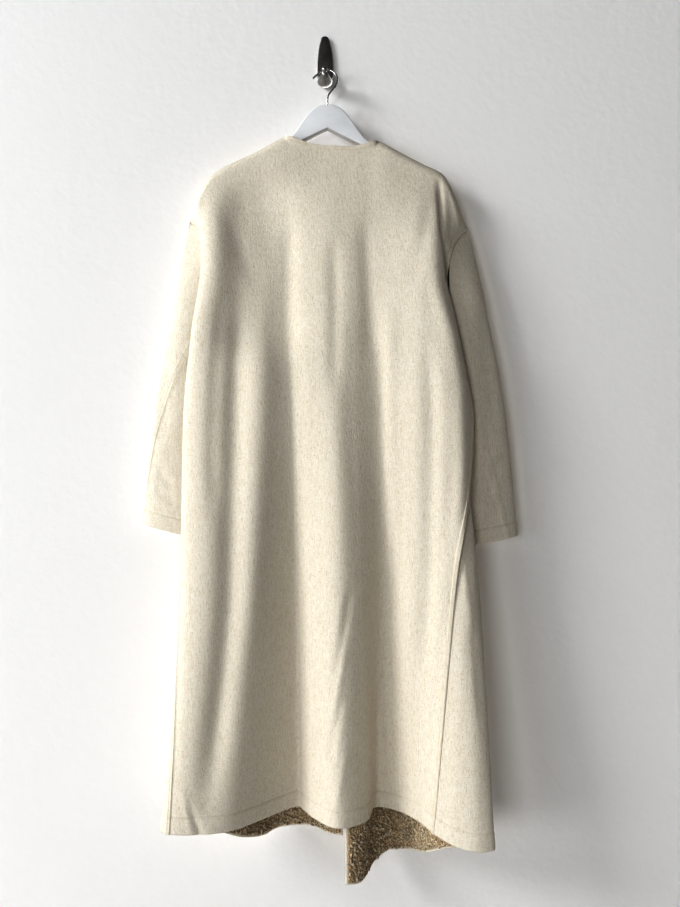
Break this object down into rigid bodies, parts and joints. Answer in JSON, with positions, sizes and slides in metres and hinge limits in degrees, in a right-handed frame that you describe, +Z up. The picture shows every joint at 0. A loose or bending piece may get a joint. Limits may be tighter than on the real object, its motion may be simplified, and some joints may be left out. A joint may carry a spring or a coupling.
{
  "type": "coat",
  "caption": "Long collarless wool coat with drop shoulders and a curly pile lining, hung on a wooden hanger from a wall hook, its back to the room.",
  "frame": {"origin": "middle of the wall plate's flat back face, in the plane of the wall", "axes": "+Z up, +Y into the wall, the coat hangs on the -Y side with its back turned to -Y and the wearer's left at -X"},
  "size_m": [0.6495, 0.167, 1.4695],
  "materials": {
    "wool": "matt brushed wool, cream with a fine brown fleck",
    "pile_lining": "curly pile, beige and tan",
    "painted_wood": "pale grey satin paint",
    "wire": "bright plated wire",
    "dark_nickel": "polished dark nickel plate"
  },
  "bodies": {
    "root": {"back": "wool", "front_left": "wool", "front_right": "wool", "sleeve_left": "wool", "sleeve_right": "wool", "lining_back": "pile_lining", "lining_front_left": "pile_lining", "lining_front_right": "pile_lining", "hanger": "painted_wood", "hanger_hook": "wire", "wall_hook": "dark_nickel"}
  },
  "joints": []
}
